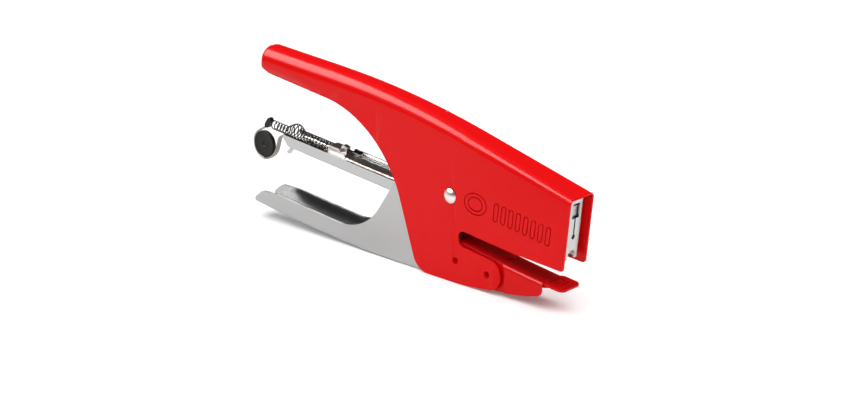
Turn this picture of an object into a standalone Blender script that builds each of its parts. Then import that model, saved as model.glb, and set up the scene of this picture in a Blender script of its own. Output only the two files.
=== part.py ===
"""Hand plier stapler at rest: +X runs to the nose, +Y to the far side, +Z up; it stands on Z = 0."""

import math

import bmesh
import bpy
from mathutils import Matrix, Vector

MM = 0.001

# Driving dimensions, millimetres. X and Z are measured from the main pin's axis.
PIN_HEIGHT = 34.9  # main pin's axis above the ground
PIN_ALONG = 30.329  # main pin's axis ahead of the middle of the whole length
NOSE_DOWN = 5.7  # degrees the magazine dips toward the nose at rest
SHELL_HALF = 7.0
SHELL_WALL = 0.8
LEVER_HALF = 6.05
LEVER_WALL = 0.7
MAGAZINE_HALF = 5.2
MAGAZINE_WALL = 0.6
MAGAZINE_REAR = -95.4
MAGAZINE_FLOOR = -9.4
MAGAZINE_RIM = -4.45
RAIL_HALF = 3.3
RAIL_WALL = 0.5
FEED_END = 51.4  # where rail, strip and magazine stop behind the driver
PLATE_HALF = 3.9
PLATE_FACE = 54.3
PIN_RADIUS = 2.0
PIN_HEAD_RADIUS = 2.95
DRIVER_PIN = (50.3, 4.5)
LEVER_BAR = (20.0, 3.0)
FEED_AXIS = -4.2  # height of the pusher's stem and of the close coils round it
STEM_RADIUS = 0.7
ROLLER_CENTRE = (-110.9, -14.6)
ROLLER_RADIUS = 5.8
CLIP_RADIUS = 6.3  # middle of the strip where it wraps the roller
CLIP_WALL = 0.8
CLIP_HALF = 1.0
CAP_TOP = (-108.5, -3.3)  # the cap is a rounded block between these two points
CAP_FOOT = (-110.0, -5.7)
CAP_RADIUS = 1.25
PUSHER = (-71.0, -61.0)
TIP_START = -104.2
TIP_LENGTH = 3.2
TIP_RIM = 36.5


for old in list(bpy.data.objects):
    bpy.data.objects.remove(old, do_unlink=True)


def material(name, colour, metallic, roughness):
    made = bpy.data.materials.new(name)
    made.use_nodes = True
    shader = made.node_tree.nodes["Principled BSDF"]
    shader.inputs["Base Color"].default_value = (*colour, 1.0)
    shader.inputs["Metallic"].default_value = metallic
    shader.inputs["Roughness"].default_value = roughness
    return made


def frame(name, at, parent=None, dip=0.0):
    """An empty on a joint axis; everything that turns or slides with it is its child."""
    made = bpy.data.objects.new(name, None)
    made.empty_display_size = 0.01
    made.location = Vector((at[0], 0.0, at[1])) * MM
    made.rotation_euler.y = math.radians(dip)
    made.parent = parent
    bpy.context.scene.collection.objects.link(made)
    return made


def solid(name, points, faces, parent, look=None, smooth=False):
    """One closed mesh from millimetre points; without a look it is a cutter."""
    mesh = bpy.data.meshes.new(name)
    mesh.from_pydata([Vector(p) * MM for p in points], [], faces)
    work = bmesh.new()
    work.from_mesh(mesh)
    bmesh.ops.recalc_face_normals(work, faces=work.faces)
    if work.calc_volume(signed=True) < 0:
        bmesh.ops.reverse_faces(work, faces=work.faces)
    work.to_mesh(mesh)
    work.free()
    made = bpy.data.objects.new(name, mesh)
    made.parent = parent
    bpy.context.scene.collection.objects.link(made)
    if look is None:
        made.hide_render = True
        made.display_type = "WIRE"
    else:
        mesh.materials.append(look)
    if smooth:
        mesh.shade_smooth()
    return made


def shape(target, other, operation="DIFFERENCE"):
    step = target.modifiers.new(other.name, "BOOLEAN")
    step.operation = operation
    step.solver = "EXACT"
    step.object = other


def rounded(corners, step=12.0):
    """Side outline from (x, z) or (x, z, radius) corners, each radius as an arc."""
    made = []
    count = len(corners)
    for i, corner in enumerate(corners):
        here = Vector(corner[:2])
        radius = corner[2] if len(corner) > 2 else 0.0
        if not radius:
            made.append(here)
            continue
        back = (Vector(corners[i - 1][:2]) - here).normalized()
        ahead = (Vector(corners[(i + 1) % count][:2]) - here).normalized()
        turn = math.pi - back.angle(ahead)
        reach = radius * math.tan(turn / 2)
        middle = here + (back + ahead).normalized() * (radius / math.cos(turn / 2))
        pieces = max(2, math.ceil(math.degrees(turn) / step))
        first = here + back * reach - middle
        last = here + ahead * reach - middle
        sign = 1.0 if first.x * last.y - first.y * last.x > 0 else -1.0
        for k in range(pieces + 1):
            angle = sign * turn * k / pieces
            made.append(middle + Matrix.Rotation(angle, 2) @ first)
    return [(p.x, p.y) for p in made]


def loft(name, loops, parent, look=None, smooth=False):
    """Closed body through loops of equal length, its two ends capped."""
    count = len(loops[0])
    points = [p for loop in loops for p in loop]
    faces = [list(range(count)), list(range(len(points) - count, len(points)))]
    for k in range(len(loops) - 1):
        for i in range(count):
            j = (i + 1) % count
            faces.append([k * count + i, k * count + j, (k + 1) * count + j, (k + 1) * count + i])
    return solid(name, points, faces, parent, look, smooth)


def plate(name, corners, low, high, parent, look=None, step=12.0):
    """Side outline carried across the width from low to high."""
    outline = rounded(corners, step)
    return loft(name, [[(x, y, z) for x, z in outline] for y in (low, high)], parent, look)


def box(name, low, high, parent, look=None):
    corners = [(low[0], low[2]), (high[0], low[2]), (high[0], high[2]), (low[0], high[2])]
    return plate(name, corners, low[1], high[1], parent, look)


def turned(name, profile, centre, parent, look=None, pieces=24):
    """Round piece about an axis across the width; the profile is (radius, y) from end to end."""
    points = []
    faces = []
    rings = []
    for radius, y in profile:
        ring = []
        for k in range(pieces if radius else 1):
            angle = math.tau * k / pieces
            ring.append(len(points))
            x = centre[0] + radius * math.cos(angle)
            points.append((x, y, centre[1] + radius * math.sin(angle)))
        rings.append(ring)
    for one, two in zip(rings, rings[1:]):
        for k in range(pieces):
            n = (k + 1) % pieces
            quad = [one[k % len(one)], one[n % len(one)], two[n % len(two)], two[k % len(two)]]
            face = []
            for v in quad:
                if v not in face:
                    face.append(v)
            faces.append(face)
    return solid(name, points, faces, parent, look, True)


def tube(name, path, radius, parent, look, sides=6):
    """Round wire along a path of millimetre points."""
    loops = []
    side = Vector((0.0, 1.0, 0.0))
    for k, point in enumerate(path):
        before = Vector(path[max(k - 1, 0)])
        after = Vector(path[min(k + 1, len(path) - 1)])
        along = (after - before).normalized()
        side = (side - along * side.dot(along)).normalized()
        up = along.cross(side)
        ring = []
        for i in range(sides):
            angle = math.tau * i / sides
            offset = side * math.cos(angle) + up * math.sin(angle)
            ring.append(Vector(point) + offset * radius)
        loops.append(ring)
    return loft(name, loops, parent, look, True)


def trough(name, stations, half, wall, bend, far, parent, look=None):
    """Folded channel: stations are (x, web), the web's outer face, and far is the open side."""
    loops = []
    for x, web in stations:
        way = 1.0 if far > web else -1.0
        outer = []
        inner = []
        for k in range(5):
            angle = math.radians(90 * k / 4)
            sine, cosine = math.sin(angle), math.cos(angle)
            outer.append((half - bend * (1 - cosine), web + way * bend * (1 - sine)))
            small = bend - wall
            inner.append((half - wall - small * (1 - cosine), web + way * (wall + small * (1 - sine))))
        right = [(half, far), *outer]
        left = [(-y, z) for y, z in reversed(right)]
        ring = right + left
        hollow = [(half - wall, far), *inner]
        ring += [(-y, z) for y, z in hollow] + [(y, z) for y, z in reversed(hollow)]
        loops.append([(x, y, z) for y, z in ring])
    return loft(name, loops, parent, look)


# Looks
RED = material("red_enamel", (0.72, 0.012, 0.016), 0.0, 0.28)
DARK_RED = material("red_enamel_anvil", (0.62, 0.010, 0.014), 0.0, 0.32)
PLATED = material("plated_lever", (0.60, 0.61, 0.61), 1.0, 0.30)
CHANNEL = material("plated_magazine", (0.62, 0.63, 0.63), 1.0, 0.26)
RAIL = material("bright_rail", (0.78, 0.77, 0.74), 1.0, 0.18)
FACE = material("satin_front_plate", (0.66, 0.67, 0.65), 1.0, 0.34)
PIN = material("bright_pin", (0.82, 0.79, 0.76), 1.0, 0.16)
RIVET = material("red_rivet", (0.66, 0.011, 0.015), 0.0, 0.34)
DRIVER = material("ground_driver", (0.45, 0.46, 0.46), 1.0, 0.38)
SPRING = material("blued_spring", (0.045, 0.035, 0.03), 1.0, 0.36)
RETURN = material("spring_wire", (0.35, 0.34, 0.33), 1.0, 0.30)
STAPLE = material("staple_wire", (0.83, 0.80, 0.72), 1.0, 0.22)
BLACK = material("black_roller", (0.012, 0.012, 0.011), 0.0, 0.45)
STRIP = material("grey_strip", (0.52, 0.51, 0.49), 1.0, 0.30)
DARK = material("dark_pusher", (0.06, 0.05, 0.045), 0.9, 0.42)
ROD = material("rod_steel", (0.58, 0.57, 0.55), 1.0, 0.24)
CAP = material("black_cap", (0.018, 0.017, 0.016), 0.2, 0.40)
SLEEVE = material("turned_sleeve", (0.55, 0.54, 0.52), 1.0, 0.32)
CROSS = material("cross_pin", (0.60, 0.60, 0.58), 1.0, 0.24)

# Joint frames
body = frame("body_frame", (PIN_ALONG, PIN_HEIGHT))
lever_axis = frame("lever_axis", (PIN_ALONG, PIN_HEIGHT), dip=NOSE_DOWN)
magazine_axis = frame("magazine_axis", (PIN_ALONG, PIN_HEIGHT), dip=NOSE_DOWN)
driver_axis = frame("driver_axis", DRIVER_PIN, lever_axis)
loader_axis = frame("loader_axis", (0.0, 0.0), magazine_axis)
pusher_axis = frame("pusher_axis", (0.0, 0.0), loader_axis)


def level(x, z):
    """A point given level with the ground, in the dipped axes of the lever and the magazine."""
    turn = math.radians(NOSE_DOWN)
    sine, cosine = math.sin(turn), math.cos(turn)
    return (x * cosine - z * sine, x * sine + z * cosine)


# Shell: one sheet folded over the top, closed at the rear into a rounded tip
def ridge(x):
    """Height of the fold: straight, a long sweep, straight again to the nose."""
    start, end, first, last = -70.0, 8.0, -0.075, -0.271
    if x <= start:
        return 38.35 + first * (x - start)
    if x >= end:
        return 24.86 + last * (x - end)
    return 38.35 + first * (x - start) + (last - first) * (x - start) ** 2 / (2 * (end - start))


def shell_section(x, inset):
    """Half the section at x as (half width, crown, bend), taken in by inset all round."""
    half = SHELL_HALF - inset
    crown = ridge(x) - inset
    bend = 2.2 + 0.0345 * (57.0 - x)
    bend = min(bend, 6.3) - inset
    if x < TIP_START:
        share = (TIP_START - x) / (TIP_LENGTH - inset)
        left = (1 - share**2.4) ** (1 / 2.4)
        crown = TIP_RIM + (ridge(TIP_START) - inset - TIP_RIM) * left
        half *= left
    return half, crown, min(bend, 0.98 * half)


def shell_body(name, inset, look=None):
    tip = TIP_LENGTH - inset
    places = [TIP_START - tip * share for share in (0.998, 0.975, 0.92, 0.82, 0.66, 0.45, 0.22)]
    places += [TIP_START, -88.0, -70.0, -60.5, -51.0, -41.5, -32.0, -22.0, -12.0, -2.0, 8.0, 64.0]
    loops = []
    for x in places:
        half, crown, bend = shell_section(x, inset)
        right = [(half, -50.0)]
        for k in range(7):
            angle = math.radians(90 * k / 6)
            right.append((half - bend * (1 - math.cos(angle)), crown - bend * (1 - math.sin(angle))))
        ring = right + [(-y, z) for y, z in reversed(right)]
        loops.append([(x, y, z) for y, z in ring])
    return loft(name, loops, body, look, True)


shell = shell_body("shell", 0.0, RED)
shell_side = [
    (-125.0, 60.0),
    (-125.0, 34.4),
    (-105.2, 34.3, 2.5),
    (-100.8, 31.2, 4.5),
    (-36.1, 22.4, 49.0),
    (-17.4, -34.8, 8.0),
    (6.0, -34.8, 60.0),
    (25.3, -32.7, 6.0),
    (25.3, -21.6, 5.8),
    (4.1, -18.9, 3.0),
    (4.1, -12.5, 2.9),
    (32.0, -15.5, 80.0),
    (55.0, -16.9, 1.2),
    (58.4, 17.0),
    (58.4, 60.0),
]
shape(shell, plate("shell_side", shell_side, -9.0, 9.0, body, step=7.0), "INTERSECT")
shape(shell, shell_body("shell_hollow", SHELL_WALL))
shape(shell, turned("shell_pin_hole", [(0, -9), (2.15, -9), (2.15, 9), (0, 9)], (0, 0), body))

# Anvil arm: folded channel riveted between the shell's lower arms, its web running on as a tongue
ANVIL_HALF = 6.05
ANVIL_WALL = 0.8
RIVET_REAR = (2.7, -25.6)
RIVET_FRONT = (18.7, -27.4)


def anvil_top(x):
    return -19.1 - 0.172 * (x - 11.0) + 0.0008 * max(0.0, x - 11.0) ** 2


anvil_places = [-6.0, 6.0, 14.0, 22.0, 30.0, 38.0, 46.0, 56.0]
anvil_arm = trough(
    "anvil_arm",
    [(x, anvil_top(x)) for x in anvil_places],
    ANVIL_HALF,
    ANVIL_WALL,
    1.6,
    -40.0,
    body,
    DARK_RED,
)
anvil_side = [
    (3.4, -10.0),
    (3.4, -20.5, 2.0),
    (-2.6, -23.5, 3.0),
    (-2.6, -33.6, 3.0),
    (24.0, -33.4, 60.0),
    (36.0, -31.6, 60.0),
    (44.4, -29.4, 2.4),
    (44.4, -10.0),
]
shape(anvil_arm, plate("anvil_side", anvil_side, -9.0, 9.0, body), "INTERSECT")
tongue_side = [(x, anvil_top(x) - 0.02) for x in (42.5, 46.0, 50.0, 56.0)]
tongue_side += [(x, z - ANVIL_WALL + 0.04) for x, z in reversed(tongue_side)]
tongue = plate("anvil_tongue", tongue_side, -7.0, 7.0, body)
tongue_half = [(42.0, 4.2), (44.7, 4.2), (45.1, 5.2, 0.4), (46.6, 5.9, 1.5), (54.1, 5.9, 2.4)]
tongue_plan = rounded([(x, -y, *more) for x, y, *more in tongue_half] + tongue_half[::-1])
plan = loft("anvil_plan", [[(x, y, z) for x, y in tongue_plan] for z in (-45.0, -8.0)], body)
shape(tongue, plan, "INTERSECT")
shape(anvil_arm, tongue, "UNION")


def upright(name, centre, radius, low, high, pieces=24):
    """Round cutter standing up."""
    ring = [math.tau * k / pieces for k in range(pieces)]
    loops = []
    for z in (low, high):
        loops.append([(centre + radius * math.cos(a), radius * math.sin(a), z) for a in ring])
    return loft(name, loops, body)


shape(anvil_arm, upright("anvil_window", 24.3, 1.7, -25.0, -15.0))
shape(anvil_arm, box("die_pocket", (45.9, -3.5, -30.0), (50.5, 3.5, -20.0), body))
for place, tag in ((RIVET_REAR, "rear"), (RIVET_FRONT, "front")):
    bore = [(0, -9), (1.45, -9), (1.45, 9), (0, 9)]
    shape(shell, turned("shell_rivet_" + tag, bore, place, body))
    shape(anvil_arm, turned("anvil_rivet_" + tag, bore, place, body))
    spool = [(0, 6.35), (0.75, 6.4), (1.25, 6.75), (1.3, 6.7)]
    spool = [(r, -y) for r, y in spool] + spool[::-1]
    turned("rivet_" + tag, spool, place, body, RIVET)

# Clinch plate let into the tongue, with two shallow forming grooves
clinch = box("clinch_plate", (46.1, -3.3, -25.2), (50.3, 3.3, -24.4), body, DARK_RED)
for side in (-1.0, 1.0):
    groove_profile = [(0, -1.3), (1.1, -1.3), (1.1, 1.3), (0, 1.3)]
    groove = turned("clinch_groove_%d" % side, groove_profile, (48.2, -23.75), body)
    groove.location.y = side * 1.65 * MM
    shape(clinch, groove)

# Main pin with a domed head at each end
dome = [(0, 8.25), (1.0, 8.2), (1.9, 8.0), (2.6, 7.65)]
dome += [(PIN_HEAD_RADIUS, 7.25), (PIN_HEAD_RADIUS, 7.05), (1.9, 7.05)]
pin_profile = [(r, -y) for r, y in dome] + [(r, y) for r, y in reversed(dome)]
turned("main_pin", pin_profile, (0, 0), body, PIN, 28)

# Lever: folded channel open upward behind the pin, two bare arms ahead of it
lever_web = [(-118.0, -27.8), (-97.0, -30.3), (-80.0, -32.1), (-62.0, -33.6), (-45.0, -34.7)]
lever_web += [(-30.0, -34.9), (-6.0, -34.9), (62.0, -34.9)]
lever = trough(
    "lever",
    [level(x, z) for x, z in lever_web],
    LEVER_HALF,
    LEVER_WALL,
    1.4,
    25.0,
    lever_axis,
    PLATED,
)
lever_side = [
    (-112.9, -50.0, 0.0),
    (-112.9, -26.0, 1.8),
    (-107.8, -22.1, 6.0),
    (-97.0, -22.0, 8.0),
    (-47.4, -26.8, 25.0),
    (-24.0, 8.0, 8.0),
    (10.0, 8.6, 20.0),
    (52.9, 2.76, 2.5),
    (51.84, -8.19, 2.5),
    (8.7, -3.9, 5.0),
    (-9.0, -25.0, 12.0),
    (-12.5, -50.0, 0.0),
]
lever_side = [(*level(x, z), radius) for x, z, radius in lever_side]
shape(lever, plate("lever_side", lever_side, -9.0, 9.0, lever_axis, step=9.0), "INTERSECT")
for tag, place, radius in (("pin", (0, 0), 2.15), ("driver", DRIVER_PIN, 1.2), ("bar", LEVER_BAR, 1.2)):
    bore = [(0, -9), (radius, -9), (radius, 9), (0, 9)]
    shape(lever, turned("lever_hole_" + tag, bore, place, lever_axis))
cross = [(0, -6.0), (0.9, -6.0), (1.1, -5.8), (1.1, 5.8), (0.9, 6.0), (0, 6.0)]
turned("driver_pin", cross, DRIVER_PIN, lever_axis, CROSS, 16)
turned("lever_bar", cross, LEVER_BAR, lever_axis, CROSS, 16)

# Driver: blade with a knuckle round its pin, kept square to the magazine
driver_side = [
    (3.0, -8.8),
    (3.0, 7.7),
    (2.4, 7.7),
    (2.4, 2.2),
    (-2.2, 2.2, 2.19),
    (-2.2, -2.2, 2.19),
    (2.4, -2.2),
    (2.4, -8.8),
]
driver = plate("driver", driver_side, -2.65, 2.65, driver_axis, DRIVER)
shape(driver, turned("driver_bore", [(0, -9), (1.3, -9), (1.3, 9), (0, 9)], (0, 0), driver_axis))

# Return spring: coil round the sleeve, one leg under the lever's bar, one against the fold
coil = [(22.0, -3.0, -0.8), (12.0, -3.1, -2.1)]
for k in range(52):
    turn = math.radians(-80.0 - 1520.0 * k / 51)
    coil.append((3.7 * math.cos(turn), -3.2 + 6.4 * k / 51, 3.7 * math.sin(turn)))
coil += [(-8.0, 3.2, 13.0), (-13.4, 3.2, 28.4)]
tube("return_spring", coil, 0.4, body, RETURN, 6)

# Magazine: folded channel with two ears on the main pin, its far rim raised ahead of the pusher
magazine = trough(
    "magazine",
    [(MAGAZINE_REAR, MAGAZINE_FLOOR), (FEED_END, MAGAZINE_FLOOR)],
    MAGAZINE_HALF,
    MAGAZINE_WALL,
    1.1,
    9.0,
    magazine_axis,
    CHANNEL,
)
raised = MAGAZINE_RIM + 1.4
magazine_side = [
    (-91.4, -20.0),
    (-91.6, -9.0, 1.0),
    (MAGAZINE_REAR + 0.1, -5.6, 0.8),
    (MAGAZINE_REAR + 0.1, MAGAZINE_RIM),
    (-63.4, MAGAZINE_RIM),
    (-62.6, raised),
    (-10.5, raised, 2.0),
    (-5.4, 4.6, 4.0),
    (5.4, 4.6, 4.0),
    (10.5, raised, 2.0),
    (60.0, raised),
    (60.0, -20.0),
]
shape(magazine, plate("magazine_side", magazine_side, -9.0, 9.0, magazine_axis), "INTERSECT")
shape(magazine, box("magazine_near_rim", (-70.0, -9.0, MAGAZINE_RIM), (-11.0, 0.0, 2.0), magazine_axis))
bore = [(0, -9), (2.15, -9), (2.15, 9), (0, 9)]
shape(magazine, turned("magazine_pin_hole", bore, (0, 0), magazine_axis))
peg_side = [(-90.9, -9.1), (-89.4, -9.1), (-91.6, -12.2, 0.3), (-93.2, -11.8, 0.3)]
peg = plate("magazine_peg", peg_side, -4.6, -3.2, magazine_axis)
shape(magazine, peg, "UNION")


def ring(name, inner, outer, half, centre, parent, look, pieces=20):
    """Plain sleeve across the width."""
    outside = [(0, -half), (outer, -half), (outer, half), (0, half)]
    inside = [(0, -9), (inner, -9), (inner, 9), (0, 9)]
    made = turned(name, outside, centre, parent, look, pieces)
    shape(made, turned(name + "_bore", inside, centre, parent, None, pieces))
    return made


ring("pivot_sleeve", 2.2, 2.9, 4.45, (0, 0), magazine_axis, SLEEVE)

# Staple rail inside the magazine: open upward, with flanges out to the magazine's walls
rail_half = [
    (4.45, -5.4),
    (4.45, -5.0),
    (3.1, -5.0),
    (RAIL_HALF - RAIL_WALL, -5.3),
    (RAIL_HALF - RAIL_WALL, -8.05),
    (2.65, -8.2),
]
rail_under = [(2.9, -8.7), (RAIL_HALF, -8.3), (RAIL_HALF, -5.4)]
rail_section = rail_half + [(-y, z) for y, z in reversed(rail_half)]
rail_section += [(-y, z) for y, z in reversed(rail_under)] + rail_under
rail_loops = [[(x, y, z) for y, z in rail_section] for x in (-88.0, FEED_END)]
rail = loft("staple_rail", rail_loops, magazine_axis, RAIL)
for side, low, high in (("near", -6.0, -RAIL_HALF), ("far", RAIL_HALF, 6.0)):
    shape(rail, box("rail_end_" + side, (45.5, low, -6.0), (60.0, high, -4.0), magazine_axis))

# Staple strip: crown and legs, bridging the rail's floor
strip = [(2.65, -4.6), (2.65, -8.1), (2.15, -8.1), (2.15, -5.1)]
strip += [(-y, z) for y, z in reversed(strip)]
loft("staple_strip", [[(x, y, z) for y, z in strip] for x in (-60.6, FEED_END)], magazine_axis, STAPLE)

# Front plate with window, slit, keyhole and arch, its cheeks folded back beside the rail
face_plan = [
    (PLATE_FACE, -PLATE_HALF),
    (PLATE_FACE, PLATE_HALF),
    (46.0, PLATE_HALF),
    (46.0, PLATE_HALF - 0.5),
    (PLATE_FACE - 0.6, PLATE_HALF - 0.5),
    (PLATE_FACE - 0.6, 0.5 - PLATE_HALF),
    (46.0, 0.5 - PLATE_HALF),
    (46.0, -PLATE_HALF),
]
face_loops = [[(x, y, z) for x, y in face_plan] for z in (-8.6, 15.2)]
front_plate = loft("front_plate", face_loops, magazine_axis, FACE)
cheeks = [(40.0, -4.8), (52.4, -4.8, 1.0), (53.4, 20.0), (40.0, 20.0)]
shape(front_plate, plate("front_cheeks", cheeks, -9.0, 9.0, magazine_axis))


def through_face(name, outline):
    """Cutter along the magazine from a (y, z) outline."""
    return loft(name, [[(x, y, z) for y, z in outline] for x in (52.5, 58.0)], magazine_axis)


window = rounded([(-2.1, 7.6, 0.4), (2.1, 7.6, 0.4), (2.1, 13.5, 0.4), (-2.1, 13.5, 0.4)])
shape(front_plate, through_face("front_window", window))
shape(front_plate, through_face("front_slit", [(-0.35, 0.2), (0.35, 0.2), (0.35, 8.0), (-0.35, 8.0)]))
spots = [math.tau * k / 14 for k in range(14)]
eye = [(0.95 * math.cos(a), 0.2 + 0.95 * math.sin(a)) for a in spots]
shape(front_plate, through_face("front_keyhole", eye))
arch = rounded([(-2.1, -12.0), (2.1, -12.0), (2.1, -5.2, 1.9), (-2.1, -5.2, 1.9)])
shape(front_plate, through_face("front_arch", arch))

# Loader: bent strip round a roller, with a cap that carries the feed spring
clip_path = [(-110.8, -6.75), (-112.3, -7.85), (-113.8, -8.85)]
for k in range(19):
    turn = math.radians(132.0 + (314.0 - 132.0) * k / 18)
    x = ROLLER_CENTRE[0] + CLIP_RADIUS * math.cos(turn)
    clip_path.append((x, ROLLER_CENTRE[1] + CLIP_RADIUS * math.sin(turn)))
clip_path += [(-105.2, -18.0), (-104.2, -16.6), (-103.5, -15.0), (-103.0, -13.3), (-102.7, -11.8)]
clip_path += [(-102.4, -10.4), (-102.0, -9.3), (-101.3, -8.5), (-100.5, -7.9), (-99.6, -7.6)]
clip_path += [(-98.2, -7.5), (-90.0, -7.5)]
clip = []
for k, point in enumerate(clip_path):
    here = Vector(point)
    along = Vector(clip_path[min(k + 1, len(clip_path) - 1)]) - Vector(clip_path[max(k - 1, 0)])
    across = Vector((-along.y, along.x)).normalized() * (CLIP_WALL / 2)
    low, high = here - across, here + across
    ends = [(low, -CLIP_HALF), (low, CLIP_HALF), (high, CLIP_HALF), (high, -CLIP_HALF)]
    clip.append([(p.x, y, p.y) for p, y in ends])
loft("rear_clip", clip, loader_axis, STRIP)
roller = [(0, -0.6), (1.0, -0.6), (1.3, -0.8), (5.4, -0.9), (ROLLER_RADIUS, -0.7)]
roller += [(r, -y) for r, y in reversed(roller)]
turned("roller", roller, ROLLER_CENTRE, loader_axis, BLACK, 36)
cap_top, cap_foot = Vector(CAP_TOP), Vector(CAP_FOOT)
cap_way = (cap_foot - cap_top).normalized() * CAP_RADIUS
cap_side = Vector((-cap_way.y, cap_way.x))
cap_corners = [cap_top - cap_way + cap_side, cap_foot + cap_way + cap_side]
cap_corners += [cap_foot + cap_way - cap_side, cap_top - cap_way - cap_side]
cap_outline = [(corner.x, corner.y, 0.99 * CAP_RADIUS) for corner in cap_corners]
plate("spring_cap", cap_outline, -1.0, 1.0, loader_axis, CAP, step=15.0)

# Pusher on the rail, with a stem for the close coils and a small tab on top
pusher_side = [
    (PUSHER[1], -8.0),
    (PUSHER[1], -4.4, 0.8),
    (-63.4, -3.2, 0.4),
    (-64.8, -2.1, 0.4),
    (PUSHER[0], -2.1, 0.6),
    (PUSHER[0], -8.0),
]
pusher = plate("pusher", pusher_side, -2.55, 2.55, pusher_axis, DARK)
tab_side = [(-65.4, -5.0), (-61.9, -5.0), (-61.7, -0.9, 0.3), (-64.1, -0.4, 0.4), (-64.7, -1.4)]
shape(pusher, plate("pusher_tab", tab_side, -1.1, 1.1, pusher_axis), "UNION")


def lengthwise(name, radius, start, end, parent, look=None, pieces=16):
    """Round bar along the magazine on the feed axis."""
    loops = []
    for x in (start, end):
        spots = [math.tau * k / pieces for k in range(pieces)]
        loops.append([(x, radius * math.cos(a), FEED_AXIS + radius * math.sin(a)) for a in spots])
    return loft(name, loops, parent, look, True)


shape(pusher, lengthwise("pusher_bore", STEM_RADIUS + 0.15, PUSHER[0] - 1.0, PUSHER[0] + 8.0, pusher_axis))
lengthwise("pusher_stem", STEM_RADIUS, -87.0, PUSHER[0] + 7.5, pusher_axis, ROD)

# Feed spring: (turns, x, centre height, radius) at its stages; it humps where it enters the magazine
FEED_WIRE = 0.25
FEED_STAGES = [
    (0.0, -106.6, -4.65, 1.75),
    (5.4, -97.2, -4.6, 1.8),
    (7.0, -94.2, -3.6, 2.75),
    (8.4, -92.2, -3.3, 3.2),
    (9.6, -90.6, -3.6, 2.9),
    (10.8, -88.8, -4.2, 2.1),
    (20.4, -71.4, -4.2, 2.1),
]


def feed_at(turns):
    """Place along, centre height and radius of the feed spring after so many turns."""
    for one, two in zip(FEED_STAGES, FEED_STAGES[1:]):
        if turns <= two[0]:
            share = (turns - one[0]) / (two[0] - one[0])
            return [a + (b - a) * share for a, b in zip(one[1:], two[1:])]
    return list(FEED_STAGES[-1][1:])


feed = []
for k in range(int(FEED_STAGES[-1][0] * 12) + 1):
    x, height, size = feed_at(k / 12)
    angle = math.tau * k / 12
    feed.append((x, size * math.cos(angle), height + size * math.sin(angle)))
tube("feed_spring", feed, FEED_WIRE, loader_axis, SPRING, 5)
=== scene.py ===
"""Looks of the hand plier stapler: detailed sheet metal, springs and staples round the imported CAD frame."""

import math

import bmesh
import bpy
from mathutils import Matrix, Vector


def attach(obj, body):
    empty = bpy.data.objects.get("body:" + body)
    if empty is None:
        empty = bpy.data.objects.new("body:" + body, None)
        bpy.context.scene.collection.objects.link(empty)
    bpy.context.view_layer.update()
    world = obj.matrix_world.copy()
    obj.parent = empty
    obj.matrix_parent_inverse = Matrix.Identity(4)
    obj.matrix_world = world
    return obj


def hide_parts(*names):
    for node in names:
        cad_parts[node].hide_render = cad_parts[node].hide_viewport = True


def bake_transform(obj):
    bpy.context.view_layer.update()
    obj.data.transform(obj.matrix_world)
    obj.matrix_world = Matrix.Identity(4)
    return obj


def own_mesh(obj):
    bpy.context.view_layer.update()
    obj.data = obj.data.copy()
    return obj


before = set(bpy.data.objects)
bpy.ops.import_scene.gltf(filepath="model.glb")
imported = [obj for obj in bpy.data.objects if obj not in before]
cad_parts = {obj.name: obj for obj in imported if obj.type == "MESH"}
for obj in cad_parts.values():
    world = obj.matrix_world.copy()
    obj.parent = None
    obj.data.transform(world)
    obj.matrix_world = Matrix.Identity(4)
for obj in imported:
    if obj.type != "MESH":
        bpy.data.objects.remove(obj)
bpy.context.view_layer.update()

MM = 0.001

PIN = (0.030329, 0.0, 0.0349)  # main pin's axis in the row frame, metres
NOSE_DOWN = 5.7  # degrees by which lever and magazine axes dip at rest

# Millimetres from the main pin's axis, as in the CAD source
SHELL_HALF = 7.0
SHELL_WALL = 0.8
TIP_START = -104.2
TIP_LENGTH = 3.2
TIP_RIM = 36.5
TIP_POWER = 2.4  # 2 would make the tip an ellipse in plan
LEVER_HALF = 6.05
LEVER_WALL = 0.7
MAGAZINE_HALF = 5.2
MAGAZINE_WALL = 0.6
MAGAZINE_REAR = -95.4
MAGAZINE_FLOOR = -9.4
MAGAZINE_RIM = -4.45
RAIL_HALF = 3.3
FEED_END = 51.4
PLATE_HALF = 3.9
PLATE_FACE = 54.3
DRIVER_PIN = (50.3, 4.5)
LEVER_BAR = (20.0, 3.0)
FEED_AXIS = -4.2
STEM_RADIUS = 0.7
ROLLER_CENTRE = (-110.9, -14.6)
ROLLER_RADIUS = 5.8
CLIP_RADIUS = 6.3
CLIP_WALL = 0.8
CLIP_HALF = 1.0
CAP_TOP = (-108.5, -3.3)
CAP_FOOT = (-110.0, -5.7)
CAP_RADIUS = 1.25
PUSHER = (-71.0, -61.0)
RIVET_REAR = (2.7, -25.6)
RIVET_FRONT = (18.7, -27.4)
PIN_BORE = 2.15
RIVET_BORE = 1.45
CROSS_BORE = 1.2
THROUGH = 9.0  # how far a cutter reaches to either side
EASE_ANGLE = 32.0  # degrees between faces from which an edge is rounded and stays sharp
FLAT_SIDE = 0.99999  # how squarely a face looks sideways to count as a flat panel

# Height of the shell's top: straight slopes before and after a parabola
RIDGE_START = -70.0
RIDGE_END = 8.0
RIDGE_START_HEIGHT = 38.35
RIDGE_END_HEIGHT = 24.86
RIDGE_FIRST_SLOPE = -0.075
RIDGE_LAST_SLOPE = -0.271

# Radius of the shell's fold, growing from the nose to the handle
NOSE = 57.0
FOLD_NOSE = 2.2
FOLD_GROWTH = 0.0345
FOLD_MOST = 6.3
FOLD_STEPS = 14
SKIRT = -50.0  # the folded sheet is made down to here, then cut to its side outline
SHEET_EDGE = 0.18

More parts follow.
